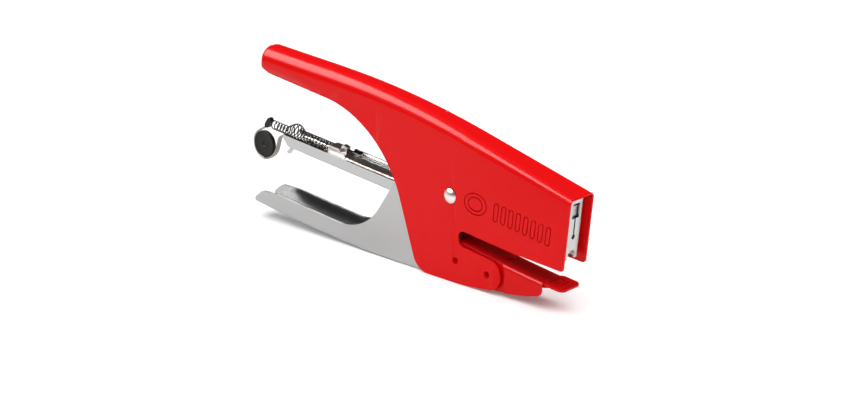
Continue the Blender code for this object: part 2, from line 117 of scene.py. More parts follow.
# Pressed pattern on the shell's sides
RING_CENTRE = (12.8, -0.4)
RING_RADII = (4.7, 3.0)
RING_STRETCH = (1.15, 0.9)
BARS = 8
BAR_START = 23.0
BAR_PITCH = 3.55
BAR_FALL = 0.135
BAR_LEAN = 0.12
BAR_HALF_LENGTH = 2.6
BAR_HALF_WIDTH = 1.0
GROOVE = 0.36
GROOVE_SUNK = 0.24

ANVIL_HALF = 6.05
ANVIL_WALL = 0.8
ANVIL_FOLD = 1.85
LOBE_STEP = 5.4  # half width of the arm where the shell's cheeks lap over it
LEVER_FOLD = 1.4
MAGAZINE_FOLD = 1.1
RAIL_WALL = 0.5
STRIP_START = -60.6
STAPLE_PITCH = 0.47
STAPLE_HALF = 2.65
STAPLE_CROWN = -4.6
STAPLE_FOOT = -8.1
STAPLE_WIRE = 0.5
FEED_WIRE = 0.25
RETURN_WIRE = 0.4
RETURN_RADIUS = 3.7

LEVEL = Matrix.Translation(PIN) @ Matrix.Scale(MM, 4)
DIPPED = Matrix.Translation(PIN) @ Matrix.Rotation(math.radians(NOSE_DOWN), 4, "Y") @ Matrix.Scale(MM, 4)


# Mesh helpers, all in millimetres until place() puts a piece in the row frame
def solid(name, points, faces):
    mesh = bpy.data.meshes.new(name)
    mesh.from_pydata([Vector(p) for p in points], [], faces)
    work = bmesh.new()
    work.from_mesh(mesh)
    bmesh.ops.recalc_face_normals(work, faces=work.faces)
    if work.calc_volume(signed=True) < 0:
        bmesh.ops.reverse_faces(work, faces=work.faces)
    work.to_mesh(mesh)
    work.free()
    made = bpy.data.objects.new(name, mesh)
    bpy.context.scene.collection.objects.link(made)
    return made


def baked(obj):
    """Puts the object's modifiers into its mesh."""
    graph = bpy.context.evaluated_depsgraph_get()
    made = obj.evaluated_get(graph)
    mesh = bpy.data.meshes.new_from_object(made, preserve_all_data_layers=True, depsgraph=graph)
    obj.modifiers.clear()
    old = obj.data
    obj.data = mesh
    bpy.data.meshes.remove(old)


def shape(target, other, operation="DIFFERENCE"):
    """Cuts, joins or intersects, then drops the other body."""
    step = target.modifiers.new("shape", "BOOLEAN")
    step.operation = operation
    step.solver = "EXACT"
    step.object = other
    baked(target)
    bpy.data.objects.remove(other, do_unlink=True)


def rounded(corners, step=6.0):
    """Outline from (x, z) or (x, z, radius) corners, each radius as an arc."""
    made = []
    count = len(corners)
    for i, corner in enumerate(corners):
        here = Vector(corner[:2])
        radius = corner[2] if len(corner) > 2 else 0.0
        if not radius:
            made.append(here)
            continue
        back = (Vector(corners[i - 1][:2]) - here).normalized()
        ahead = (Vector(corners[(i + 1) % count][:2]) - here).normalized()
        turn = math.pi - back.angle(ahead)
        reach = radius * math.tan(turn / 2)
        middle = here + (back + ahead).normalized() * (radius / math.cos(turn / 2))
        pieces = max(3, math.ceil(math.degrees(turn) / step))
        first = here + back * reach - middle
        last = here + ahead * reach - middle
        sign = 1.0 if first.x * last.y - first.y * last.x > 0 else -1.0
        for k in range(pieces + 1):
            made.append(middle + Matrix.Rotation(sign * turn * k / pieces, 2) @ first)
    return [(p.x, p.y) for p in made]


def loft(name, loops, closed=False):
    """Closed body through loops of equal length, its ends capped, or joined end to end."""
    count = len(loops[0])
    points = [p for loop in loops for p in loop]
    faces = []
    if not closed:
        faces = [list(range(count)), list(range(len(points) - count, len(points)))]
    rows = len(loops)
    for k in range(rows if closed else rows - 1):
        n = (k + 1) % rows
        for i in range(count):
            j = (i + 1) % count
            faces.append([k * count + i, k * count + j, n * count + j, n * count + i])
    return solid(name, points, faces)


def plate(name, corners, low, high, step=6.0):
    """Side outline carried across the width from low to high."""
    outline = rounded(corners, step)
    return loft(name, [[(x, y, z) for x, z in outline] for y in (low, high)])


def box(name, low, high):
    corners = [(low[0], low[2]), (high[0], low[2]), (high[0], high[2]), (low[0], high[2])]
    return plate(name, corners, low[1], high[1])


def turned(name, profile, centre, pieces=48, relief=None):
    """Round piece about an axis across the width from (radius, y) points; relief shifts y."""
    points = []
    faces = []
    rings = []
    for radius, y in profile:
        ring = []
        for k in range(pieces if radius else 1):
            angle = math.tau * k / pieces
            ring.append(len(points))
            lift = relief(radius, angle) * (1 if y > 0 else -1) if relief else 0.0
            x = centre[0] + radius * math.cos(angle)
            z = centre[1] + radius * math.sin(angle)
            points.append((x, y + lift, z))
        rings.append(ring)
    for one, two in zip(rings, rings[1:]):
        for k in range(pieces):
            n = (k + 1) % pieces
            face = []
            for v in (one[k % len(one)], one[n % len(one)], two[n % len(two)], two[k % len(two)]):
                if v not in face:
                    face.append(v)
            faces.append(face)
    return solid(name, points, faces)


def bore(name, radius, centre):
    """Cutter for a round hole right across the width."""
    return turned(name, [(0, -THROUGH), (radius, -THROUGH), (radius, THROUGH), (0, THROUGH)], centre)


def circle(pieces):
    """Angles of evenly spaced points round a circle."""
    return [math.tau * k / pieces for k in range(pieces)]


def tube(name, path, radius, sides=10, closed=False, round_ends=True):
    """Round wire along a path of points."""
    loops = []
    side = Vector((0.0, 1.0, 0.0))
    count = len(path)
    for k, point in enumerate(path):
        before = Vector(path[k - 1 if closed else max(k - 1, 0)])
        after = Vector(path[(k + 1) % count if closed else min(k + 1, count - 1)])
        along = (after - before).normalized()
        side = (side - along * side.dot(along)).normalized()
        up = along.cross(side)
        sizes = [(0.0, radius)]
        if round_ends and not closed and k in (0, count - 1):
            sizes = [(0.5, 0.55), (0.3, 0.85), (0.0, 1.0)]
            sizes = [(s * radius * (-1 if k == 0 else 1), r * radius) for s, r in sizes]
            if k:
                sizes = sizes[::-1]
        for shift, size in sizes:
            ring = []
            for i in range(sides):
                angle = math.tau * i / sides
                offset = side * math.cos(angle) + up * math.sin(angle)
                ring.append(Vector(point) + along * shift + offset * size)
            loops.append(ring)
    return loft(name, loops, closed)


def trough(name, stations, half, wall, bend, far, steps=9):
    """Folded channel: stations are (x, web), the web's outer face, and far is the open side."""
    loops = []
    for x, web in stations:
        way = 1.0 if far > web else -1.0
        outer = []
        inner = []
        for k in range(steps + 1):
            angle = math.radians(90 * k / steps)
            sine, cosine = math.sin(angle), math.cos(angle)
            outer.append((half - bend * (1 - cosine), web + way * bend * (1 - sine)))
            small = bend - wall
            inner.append((half - wall - small * (1 - cosine), web + way * (wall + small * (1 - sine))))
        right = [(half, far), *outer]
        left = [(-y, z) for y, z in reversed(right)]
        hollow = [(half - wall, far), *inner]
        section = right + left + [(-y, z) for y, z in hollow] + [(y, z) for y, z in reversed(hollow)]
        loops.append([(x, y, z) for y, z in section])
    return loft(name, loops)


def level(x, z):
    """A point given level with the ground, in the dipped axes."""
    turn = math.radians(NOSE_DOWN)
    sine, cosine = math.sin(turn), math.cos(turn)
    return (x * cosine - z * sine, x * sine + z * cosine)


def eased(obj, edge, steps=3, angle=EASE_ANGLE):
    """Rounds the cut edges."""
    step = obj.modifiers.new("edge", "BEVEL")
    step.width = edge
    step.segments = steps
    step.limit_method = "ANGLE"
    step.angle_limit = math.radians(angle)
    step.miter_outer = "MITER_ARC"
    baked(obj)


def place(obj, where, body, nodes, material, edge=0.0, angle=EASE_ANGLE):
    """Rounds edges, smooths normals, moves the piece into the row frame and hangs it on its body."""
    if edge:
        eased(obj, edge, angle=angle)
    obj.data.shade_smooth()
    for face in obj.data.polygons:
        face.use_smooth = abs(face.normal.y) < FLAT_SIDE
    obj.data.set_sharp_from_angle(angle=math.radians(angle))
    step = obj.modifiers.new("normals", "WEIGHTED_NORMAL")
    step.keep_sharp = True
    step.weight = 100
    baked(obj)
    obj.data.transform(where)
    obj.data.materials.clear()
    obj.data.materials.append(material)
    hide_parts(*nodes)
    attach(obj, body)


# Materials
MOTTLE_SIZE = 160.0
GLOSS_SIZE = 330.0
GRAIN_DEPTH = 0.0001


def look(name, colour, metallic, roughness, tint, grain, grain_size, stretch=(1, 1, 1), spread=0.06, **more):
    """Principled finish with mottled colour, uneven gloss and a fine surface grain."""
    made = bpy.data.materials.new(name)
    made.use_nodes = True
    tree = made.node_tree
    shader = tree.nodes["Principled BSDF"]
    shader.inputs["Metallic"].default_value = metallic
    for key, value in more.items():
        shader.inputs[key.replace("_", " ").title().replace("Ior", "IOR")].default_value = value
    place_at = tree.nodes.new("ShaderNodeTexCoord")
    mapping = tree.nodes.new("ShaderNodeMapping")
    mapping.inputs["Scale"].default_value = stretch
    tree.links.new(place_at.outputs["Object"], mapping.inputs["Vector"])

    def noise(size, detail):
        node = tree.nodes.new("ShaderNodeTexNoise")
        node.inputs["Scale"].default_value = size
        node.inputs["Detail"].default_value = detail
        tree.links.new(mapping.outputs["Vector"], node.inputs["Vector"])
        return node.outputs["Fac"]

    mottle = tree.nodes.new("ShaderNodeMix")
    mottle.data_type = "RGBA"
    mottle.inputs["A"].default_value = (*[c * (1 - tint) for c in colour], 1.0)
    mottle.inputs["B"].default_value = (*[min(1.0, c * (1 + tint)) for c in colour], 1.0)
    tree.links.new(noise(MOTTLE_SIZE, 3.0), mottle.inputs["Factor"])
    tree.links.new(mottle.outputs["Result"], shader.inputs["Base Color"])
    gloss = tree.nodes.new("ShaderNodeMapRange")
    gloss.inputs["To Min"].default_value = roughness - spread
    gloss.inputs["To Max"].default_value = roughness + spread
    tree.links.new(noise(GLOSS_SIZE, 5.0), gloss.inputs["Value"])
    tree.links.new(gloss.outputs["Result"], shader.inputs["Roughness"])
    bump = tree.nodes.new("ShaderNodeBump")
    bump.inputs["Strength"].default_value = grain
    bump.inputs["Distance"].default_value = GRAIN_DEPTH
    tree.links.new(noise(grain_size, 2.0), bump.inputs["Height"])
    tree.links.new(bump.outputs["Normal"], shader.inputs["Normal"])
    return made


ENAMEL = {"tint": 0.03, "grain": 0.05, "grain_size": 1100.0, "spread": 0.03, "specular_ior_level": 0.10}
RED = look("red_enamel_gloss", (0.64, 0.003, 0.004), 0.0, 0.20, **ENAMEL)
RED_ARM = look("red_enamel_arm", (0.61, 0.003, 0.004), 0.0, 0.22, **ENAMEL)
LEVER = look("nickel_lever", (0.38, 0.38, 0.378), 1.0, 0.16, 0.02, 0.02, 1500.0, (0.15, 1, 1), 0.03)
CHANNEL = look("nickel_magazine", (0.41, 0.41, 0.41), 1.0, 0.16, 0.02, 0.02, 1500.0, (0.1, 1, 1), 0.03)
RAIL = look("bright_rail_plating", (0.84, 0.83, 0.81), 1.0, 0.12, 0.02, 0.02, 1500.0, (0.05, 1, 1), 0.03)
STAPLE = look("staple_wire_bright", (0.92, 0.90, 0.86), 1.0, 0.20, 0.04, 0.04, 2500.0, (1, 0.1, 1))
FACE = look("satin_nose", (0.50, 0.51, 0.50), 1.0, 0.28, 0.04, 0.08, 1600.0, (1, 1, 0.1))
PIN_LOOK = look("nickel_pin", (0.70, 0.64, 0.60), 1.0, 0.34, 0.03, 0.03, 1500.0)
DRIVER = look("ground_blade", (0.42, 0.43, 0.43), 1.0, 0.34, 0.08, 0.10, 2200.0, (1, 1, 0.06))
COIL = look("blued_wire", (0.035, 0.027, 0.023), 1.0, 0.34, 0.15, 0.04, 2500.0)
RETURN = look("drawn_wire", (0.35, 0.34, 0.33), 1.0, 0.28, 0.10, 0.05, 2500.0)
MOULDED = {"tint": 0.20, "grain_size": 1600.0, "specular_ior_level": 0.18}
BLACK = look("black_moulding", (0.007, 0.007, 0.006), 0.0, 0.45, grain=0.20, **MOULDED)
CAP = look("black_cap_moulding", (0.008, 0.007, 0.006), 0.0, 0.42, grain=0.15, **MOULDED)
STRIP = look("spring_steel_strip", (0.24, 0.22, 0.205), 1.0, 0.22, 0.06, 0.05, 1500.0, (1, 0.1, 1))
PUSHER_LOOK = look("grey_pusher", (0.42, 0.40, 0.385), 1.0, 0.34, 0.15, 0.12, 1700.0)
ROD = look("drawn_stem", (0.6, 0.59, 0.57), 1.0, 0.22, 0.05, 0.05, 2000.0, (0.1, 1, 1))
SLEEVE = look("turned_steel", (0.55, 0.54, 0.52), 1.0, 0.30, 0.06, 0.08, 1800.0, (1, 0.1, 1))


# Shell: one sheet folded over the top, closed at the rear into a rounded tip
def ridge(x):
    """Height of the shell's top at x."""
    along = x - RIDGE_START
    if x >= RIDGE_END:
        return RIDGE_END_HEIGHT + RIDGE_LAST_SLOPE * (x - RIDGE_END)
    height = RIDGE_START_HEIGHT + RIDGE_FIRST_SLOPE * along
    if along > 0:
        height += (RIDGE_LAST_SLOPE - RIDGE_FIRST_SLOPE) * along**2 / (2 * (RIDGE_END - RIDGE_START))
    return height


def shell_section(x, inset):
    """Half width, top and fold radius at x, for the outer face or one set in by inset."""
    half = SHELL_HALF - inset
    crown = ridge(x) - inset
    bend = min(FOLD_NOSE + FOLD_GROWTH * (NOSE - x), FOLD_MOST) - inset
    if x < TIP_START:
        share = (TIP_START - x) / (TIP_LENGTH - inset)
        left = max(0.0, 1 - share**TIP_POWER) ** (1 / TIP_POWER)
        crown = TIP_RIM + (ridge(TIP_START) - inset - TIP_RIM) * left
        half *= left
    return half, crown, min(bend, 0.98 * half)


def shell_body(name, inset):
    tip = TIP_LENGTH - inset
    shares = (0.992, 0.955, 0.89, 0.79, 0.65, 0.45, 0.2)
    places = [TIP_START - tip * share for share in shares]
    places += [TIP_START, -96.0, -84.0, RIDGE_START]
    places += [RIDGE_START + (RIDGE_END - RIDGE_START) * k / 20 for k in range(1, 21)] + [64.0]
    loops = []
    for x in places:
        half, crown, bend = shell_section(x, inset)
        right = [(half, SKIRT), (half, crown - bend - 0.4)]
        for k in range(FOLD_STEPS + 1):
            angle = math.radians(90 * k / FOLD_STEPS)
            right.append((half - bend * (1 - math.cos(angle)), crown - bend * (1 - math.sin(angle))))
        section = right + [(-y, z) for y, z in reversed(right)]
        loops.append([(x, y, z) for y, z in section])
    return loft(name, loops)


def capsule(centre, lean, half_length, half_width, count=10):
    """Closed outline of an upright round-ended bar on the side panel, in (x, z)."""
    spots = []
    for end in (1.0, -1.0):
        for k in range(count + 1):
            angle = math.pi * k / count if end > 0 else math.pi + math.pi * k / count
            spots.append((half_width * math.cos(angle), end * half_length + half_width * math.sin(angle)))
    return [(centre[0] + x + lean * z, centre[1] + z) for x, z in spots]


shell = shell_body("shell_sheet", 0.0)
shell_side = [
    (-125.0, 60.0),
    (-125.0, 48.0),
    (-109.5, 42.0),
    (-106.2, 32.8, 4.5),
    (-100.5, 30.6, 5.0),
    (-36.1, 22.4, 49.0),
    (-17.4, -34.8, 8.0),
    (6.0, -34.8, 60.0),
    (25.3, -32.7, 6.0),
    (25.3, -21.6, 5.8),
    (4.1, -18.9, 3.0),
    (4.1, -12.5, 2.9),
    (32.0, -15.5, 80.0),
    (55.0, -16.9, 1.2),
    (58.4, 17.0),
    (58.4, 60.0),
]
shape(shell, plate("shell_side", shell_side, -9.0, 9.0, 3.0), "INTERSECT")
shape(shell, shell_body("shell_hollow", SHELL_WALL))
shape(shell, bore("shell_pin_hole", PIN_BORE, (0, 0)))
for spot in (RIVET_REAR, RIVET_FRONT):
    shape(shell, bore("shell_rivet", RIVET_BORE, spot))

eased(shell, SHEET_EDGE)

# Plain pressed pattern on both side panels: a double ring and a row of slanting bars
for side in (-1.0, 1.0):
    outlines = []
    for radius in RING_RADII:
        wide, high = (radius * stretch for stretch in RING_STRETCH)
        ring = [(wide * math.cos(a), high * math.sin(a)) for a in circle(40)]
        outlines.append([(RING_CENTRE[0] + x, RING_CENTRE[1] + z) for x, z in ring])
    for k in range(BARS):
        x = BAR_START + BAR_PITCH * k
        centre = (x, -0.95 - BAR_FALL * (x - 20.0))
        outlines.append(capsule(centre, BAR_LEAN, BAR_HALF_LENGTH, BAR_HALF_WIDTH))
    for outline in outlines:
        path = [(x, side * (SHELL_HALF - GROOVE_SUNK), z) for x, z in outline]
        shape(shell, tube("groove", path, GROOVE, 8, closed=True))
place(shell, LEVEL, "body", ["shell"], RED)


# Anvil arm and its clinching die
def anvil_top(x):
    """Height of the anvil's top at x, falling less steeply towards the front."""
    return -19.1 - 0.172 * (x - 11.0) + 0.0008 * max(0.0, x - 11.0) ** 2


def upright(name, centre, radius, low, high):
    """Upright round cutter on the middle plane."""
    ring = [(centre + radius * math.cos(a), radius * math.sin(a)) for a in circle(40)]
    return loft(name, [[(x, y, z) for x, y in ring] for z in (low, high)])


arm_places = [-6.0 + 2.0 * k for k in range(32)]
arm_web = [(x, anvil_top(x)) for x in arm_places]
arm = trough("anvil_sheet", arm_web, ANVIL_HALF, ANVIL_WALL, ANVIL_FOLD, -40.0)
arm_side = [
    (3.4, -10.0),
    (3.4, -20.5, 2.0),
    (-2.6, -23.5, 3.0),
    (-2.6, -33.6, 3.0),
    (24.0, -33.4, 60.0),
    (36.0, -31.6, 60.0),
    (44.4, -29.4, 2.4),
    (44.4, -10.0),
]
shape(arm, plate("arm_side", arm_side, -9.0, 9.0), "INTERSECT")
tongue_side = [(x, anvil_top(x) - 0.02) for x in (42.5, 44.0, 46.0, 48.0, 50.0, 52.0, 56.0)]
tongue_side += [(x, z - 0.76) for x, z in reversed(tongue_side)]
tongue = plate("tongue", tongue_side, -7.0, 7.0)
tongue_half = [(42.0, 4.2), (44.7, 4.2), (45.1, 5.2, 0.4), (46.6, 5.9, 1.5), (54.1, 5.9, 2.4)]
tongue_plan = rounded([(x, -y, *more) for x, y, *more in tongue_half] + tongue_half[::-1])
tongue_prism = loft("tongue_plan", [[(x, y, z) for x, y in tongue_plan] for z in (-45.0, -8.0)])
shape(tongue, tongue_prism, "INTERSECT")
shape(arm, tongue, "UNION")
shape(arm, upright("arm_window", 24.3, 1.7, -25.0, -15.0))
shape(arm, box("die_pocket", (45.9, -3.5, -30.0), (50.5, 3.5, -20.0)))
lobe = [(0.0, -40.0), (27.0, -40.0), (26.7, -33.4, 6.8), (26.7, -20.7, 6.6), (18.0, -18.0), (0.0, -18.0)]
for side in (-1.0, 1.0):
    low, high = sorted((side * LOBE_STEP, side * 8.0))
    shape(arm, plate("arm_joggle", lobe, low, high, 4.0))
for spot in (RIVET_REAR, RIVET_FRONT):
    shape(arm, bore("arm_rivet", RIVET_BORE, spot))
place(arm, LEVEL, "body", ["anvil_arm"], RED_ARM, SHEET_EDGE)

die = box("clinch_die", (46.0, -3.4, -25.2), (50.4, 3.4, -24.4))
for side in (-1.0, 1.0):
    groove = turned("die_groove", [(0, -1.3), (1.1, -1.3), (1.1, 1.3), (0, 1.3)], (48.2, -23.75))
    groove.location.y = side * 1.65
    shape(die, groove)
place(die, LEVEL, "body", ["clinch_plate"], RED_ARM, 0.08)

rivet_half = [(0, 4.9), (0.5, 4.95), (0.82, 5.2), (0.98, 5.9)]
rivet_half += [(1.06, 6.6), (1.18, 6.82), (1.28, 6.8), (1.37, 6.66)]
spool = [(r, -y) for r, y in rivet_half] + rivet_half[::-1]
for tag, spot in (("rear", RIVET_REAR), ("front", RIVET_FRONT)):
    rivet = turned("rivet_dimple_" + tag, spool, spot)
    place(rivet, LEVEL, "body", ["rivet_" + tag], RED, angle=70.0)

dome = [(0, 8.25), (0.5, 8.235), (1.0, 8.17), (1.5, 8.05), (1.95, 7.9), (2.35, 7.7)]
dome += [(2.7, 7.45), (2.88, 7.25), (2.94, 7.14), (2.9, 7.05), (1.95, 7.05)]
pin = turned("pivot_pin", [(r, -y) for r, y in dome] + dome[::-1], (0, 0), 64)
place(pin, LEVEL, "body", ["main_pin"], PIN_LOOK, angle=50.0)

# Lever
lever_web = [(-118.0, -27.8), (-97.0, -30.3), (-80.0, -32.1), (-62.0, -33.6), (-45.0, -34.7)]
lever_web += [(-30.0, -34.9), (-6.0, -34.9), (62.0, -34.9)]
lever = trough("lever_sheet", [level(x, z) for x, z in lever_web], LEVER_HALF, LEVER_WALL, LEVER_FOLD, 25.0)
lever_side = [
    (-112.9, -50.0, 0.0),
    (-112.9, -26.0, 1.8),
    (-107.8, -22.1, 6.0),
    (-97.0, -22.0, 8.0),
    (-47.4, -26.8, 25.0),
    (-24.0, 8.0, 8.0),
    (10.0, 8.6, 20.0),
    (52.9, 2.76, 2.5),
    (51.84, -8.19, 2.5),
    (8.7, -3.9, 5.0),
    (-9.0, -25.0, 12.0),
    (-12.5, -50.0, 0.0),
]
lever_side = [(*level(x, z), radius) for x, z, radius in lever_side]
shape(lever, plate("lever_side", lever_side, -9.0, 9.0, 4.0), "INTERSECT")
for spot, radius in (((0, 0), PIN_BORE), (DRIVER_PIN, CROSS_BORE), (LEVER_BAR, CROSS_BORE)):
    shape(lever, bore("lever_hole", radius, spot))
place(lever, DIPPED, "lever", ["lever"], LEVER, 0.14)

cross_half = [(0, 6.0), (0.85, 6.0), (1.02, 5.95), (1.1, 5.8)]
cross = [(r, -y) for r, y in cross_half] + cross_half[::-1]
place(turned("driver_cross_pin", cross, DRIVER_PIN, 32), DIPPED, "lever", ["driver_pin"], ROD)
place(turned("lever_cross_bar", cross, LEVER_BAR, 32), DIPPED, "lever", ["lever_bar"], ROD)

driver_side = [
    (3.0, -8.8),
    (3.0, 7.7),
    (2.4, 7.7),
    (2.4, 2.2),
    (-2.2, 2.2, 2.19),
    (-2.2, -2.2, 2.19),
    (2.4, -2.2),
    (2.4, -8.8),
]
driver_side = [(x + DRIVER_PIN[0], z + DRIVER_PIN[1], *more) for x, z, *more in driver_side]
driver = plate("driver_blade", driver_side, -2.65, 2.65)
shape(driver, bore("driver_bore", 1.3, DRIVER_PIN))
place(driver, DIPPED, "driver", ["driver"], DRIVER, 0.08)

# Return spring: coil round the sleeve, its front leg under the lever's cross bar, made as one fixed wire
coil = [(22.0, -3.0, -0.8), (17.0, -3.05, -1.45), (12.0, -3.1, -2.1), (8.0, -3.15, -2.75)]
for k in range(200):
    share = k / 199
    turn = math.radians(-80.0 - 1520.0 * share)
    coil.append((RETURN_RADIUS * math.cos(turn), -3.2 + 6.4 * share, RETURN_RADIUS * math.sin(turn)))
coil += [(-5.7, 3.2, 7.0), (-8.0, 3.2, 13.0), (-10.7, 3.2, 20.7), (-13.4, 3.2, 28.4)]
wire = tube("return_wire", coil, RETURN_WIRE, 12)

# Magazine, rail and staples
magazine_web = [(MAGAZINE_REAR, MAGAZINE_FLOOR), (FEED_END, MAGAZINE_FLOOR)]
magazine = trough("magazine_sheet", magazine_web, MAGAZINE_HALF, MAGAZINE_WALL, MAGAZINE_FOLD, 9.0)
raised = MAGAZINE_RIM + 1.4
magazine_side = [
    (-91.4, -20.0),
    (-91.6, -9.0, 1.0),
    (MAGAZINE_REAR + 0.1, -5.6, 0.8),
    (MAGAZINE_REAR + 0.1, MAGAZINE_RIM),
    (-63.4, MAGAZINE_RIM),
    (-62.6, raised),
    (-10.5, raised, 2.0),
    (-5.4, 4.6, 4.0),
    (5.4, 4.6, 4.0),
    (10.5, raised, 2.0),
    (60.0, raised),
    (60.0, -20.0),
]
shape(magazine, plate("magazine_side", magazine_side, -9.0, 9.0), "INTERSECT")
shape(magazine, box("near_rim", (-70.0, -9.0, MAGAZINE_RIM), (-11.0, 0.0, 2.0)))
shape(magazine, bore("magazine_hole", PIN_BORE, (0, 0)))
peg_side = [(-90.9, -9.1), (-89.4, -9.1), (-91.6, -12.2, 0.3), (-93.2, -11.8, 0.3)]
shape(magazine, plate("magazine_peg", peg_side, -4.6, -3.2), "UNION")
place(magazine, DIPPED, "magazine", ["magazine"], CHANNEL, 0.12)

sleeve = turned("sleeve_turned", [(0, -4.45), (2.9, -4.45), (2.9, 4.45), (0, 4.45)], (0, 0))
shape(sleeve, bore("sleeve_bore", 2.2, (0, 0)))
place(sleeve, DIPPED, "magazine", ["pivot_sleeve"], SLEEVE, 0.1)

rail_inner = RAIL_HALF - RAIL_WALL
rail_half = [(4.45, -5.4), (4.45, -5.0), (3.1, -5.0), (rail_inner, -5.3), (rail_inner, -8.05), (2.65, -8.2)]
rail_under = [(2.9, -8.7), (RAIL_HALF, -8.3), (RAIL_HALF, -5.4)]
rail_section = rail_half + [(-y, z) for y, z in reversed(rail_half)]
rail_section += [(-y, z) for y, z in reversed(rail_under)] + rail_under
rail = loft("rail_sheet", [[(x, y, z) for y, z in rail_section] for x in (-88.0, FEED_END)])
for low, high in ((-6.0, -RAIL_HALF), (RAIL_HALF, 6.0)):
    shape(rail, box("rail_end", (45.5, low, -6.0), (60.0, high, -4.0)))
place(rail, DIPPED, "magazine", ["staple_rail"], RAIL, 0.08)


def staple_section(inset):
    """The U of one staple, its crown's corners rounded, taken in by inset."""
    half = STAPLE_HALF - inset
    crown = STAPLE_CROWN - inset
    outer = [(half, STAPLE_FOOT), (half, crown - 0.45), (half - 0.13, crown - 0.13), (half - 0.45, crown)]
    inner_half = STAPLE_HALF - STAPLE_WIRE
    inner = [(inner_half, STAPLE_FOOT), (inner_half, STAPLE_CROWN - STAPLE_WIRE)]
    section = outer + [(-y, z) for y, z in reversed(outer)]
    section += [(-y, z) for y, z in inner] + [(y, z) for y, z in reversed(inner)]
    return section


# Each staple is a rounded rib on the strip: (distance from its rear face, how far the section is taken in)
staple_count = int((FEED_END - STRIP_START) / STAPLE_PITCH)
rib = [(0.0, 0.09), (0.06, 0.02), (0.14, 0.0), (STAPLE_PITCH - 0.14, 0.0), (STAPLE_PITCH - 0.06, 0.02)]
loops = []
for k in range(staple_count):
    start = STRIP_START + STAPLE_PITCH * k
    for shift, inset in rib:
        loops.append([(start + shift, y, z) for y, z in staple_section(inset)])
loops.append([(STRIP_START + STAPLE_PITCH * staple_count, y, z) for y, z in staple_section(0.09)])
place(loft("staple_strip_wires", loops), DIPPED, "magazine", ["staple_strip"], STAPLE)

# Front plate with window, slit, keyhole and arch
face_plan = [
    (PLATE_FACE, -PLATE_HALF, 0.6),
    (PLATE_FACE, PLATE_HALF, 0.6),
    (46.0, PLATE_HALF),
    (46.0, PLATE_HALF - 0.5),
    (PLATE_FACE - 0.6, PLATE_HALF - 0.5),
    (PLATE_FACE - 0.6, 0.5 - PLATE_HALF),
    (46.0, 0.5 - PLATE_HALF),
    (46.0, -PLATE_HALF),
]
face = loft("nose_plate", [[(x, y, z) for x, y in rounded(face_plan, 15.0)] for z in (-8.6, 15.2)])
shape(face, plate("nose_cheeks", [(40.0, -4.8), (52.4, -4.8, 1.0), (53.4, 20.0), (40.0, 20.0)], -9.0, 9.0))


def through_face(name, outline):
    """Cutter lengthwise through the nose plate from an outline in (y, z)."""
    return loft(name, [[(x, y, z) for y, z in outline] for x in (52.5, 58.0)])


window = rounded([(-2.1, 7.6, 0.4), (2.1, 7.6, 0.4), (2.1, 13.5, 0.4), (-2.1, 13.5, 0.4)])
shape(face, through_face("nose_window", window))
shape(face, through_face("nose_slit", [(-0.35, 0.2), (0.35, 0.2), (0.35, 8.0), (-0.35, 8.0)]))
keyhole = [(0.95 * math.cos(a), 0.2 + 0.95 * math.sin(a)) for a in circle(32)]
shape(face, through_face("nose_keyhole", keyhole))
arch = rounded([(-2.1, -12.0), (2.1, -12.0), (2.1, -5.2, 1.9), (-2.1, -5.2, 1.9)])
shape(face, through_face("nose_arch", arch))
place(face, DIPPED, "magazine", ["front_plate"], FACE, 0.09)

# Loader: bent strip, roller, cap, feed spring
path = [(-110.8, -6.75), (-112.3, -7.85), (-113.8, -8.85)]
for k in range(49):
    turn = math.radians(132.0 + (314.0 - 132.0) * k / 48)
    x = ROLLER_CENTRE[0] + CLIP_RADIUS * math.cos(turn)
    path.append((x, ROLLER_CENTRE[1] + CLIP_RADIUS * math.sin(turn)))
path += [(-105.2, -18.0), (-104.2, -16.6), (-103.5, -15.0), (-103.0, -13.3), (-102.7, -11.8), (-102.4, -10.4)]
path += [(-102.0, -9.3), (-101.3, -8.5), (-100.5, -7.9), (-99.6, -7.6), (-98.2, -7.5), (-90.0, -7.5)]
loops = []
for k, point in enumerate(path):
    here = Vector(point)
    along = Vector(path[min(k + 1, len(path) - 1)]) - Vector(path[max(k - 1, 0)])
    across = Vector((-along.y, along.x)).normalized() * (CLIP_WALL / 2)
    low, high = here - across, here + across
    ends = ((low, -CLIP_HALF), (low, CLIP_HALF), (high, CLIP_HALF), (high, -CLIP_HALF))
    loops.append([(p.x, y, p.y) for p, y in ends])
place(loft("clip_strip", loops), DIPPED, "loader", ["rear_clip"], STRIP, 0.12, angle=50.0)


def spokes(radius, angle):
    """Shallow radial flutes on the roller's faces."""
    if not 1.6 < radius < 4.7:
        return 0.0
    return -0.05 * (0.5 + 0.5 * math.cos(16 * angle)) ** 2


half = [(0, 0.4), (0.8, 0.4), (1.0, 0.5), (1.15, 0.72), (1.3, 0.8), (1.8, 0.8), (2.6, 0.8), (3.6, 0.82)]
half += [(4.3, 0.85), (5.0, 0.9), (5.4, 0.88), (5.6, 0.8), (5.74, 0.64), (ROLLER_RADIUS, 0.45)]
half += [(ROLLER_RADIUS, 0.2)]
wheel = turned("roller_wheel", [(r, -y) for r, y in half] + half[::-1], ROLLER_CENTRE, 144, spokes)
place(wheel, DIPPED, "loader", ["roller"], BLACK, angle=50.0)
cap_top, cap_foot = Vector(CAP_TOP), Vector(CAP_FOOT)
cap_way = (cap_foot - cap_top).normalized() * CAP_RADIUS
cap_side = Vector((-cap_way.y, cap_way.x))
corners = [cap_top - cap_way + cap_side, cap_foot + cap_way + cap_side]
corners += [cap_foot + cap_way - cap_side, cap_top - cap_way - cap_side]
cap = plate("cap_block", [(p.x, p.y, 0.99 * CAP_RADIUS) for p in corners], -1.0, 1.0, 10.0)
place(cap, DIPPED, "loader", ["spring_cap"], CAP, 0.3, angle=50.0)

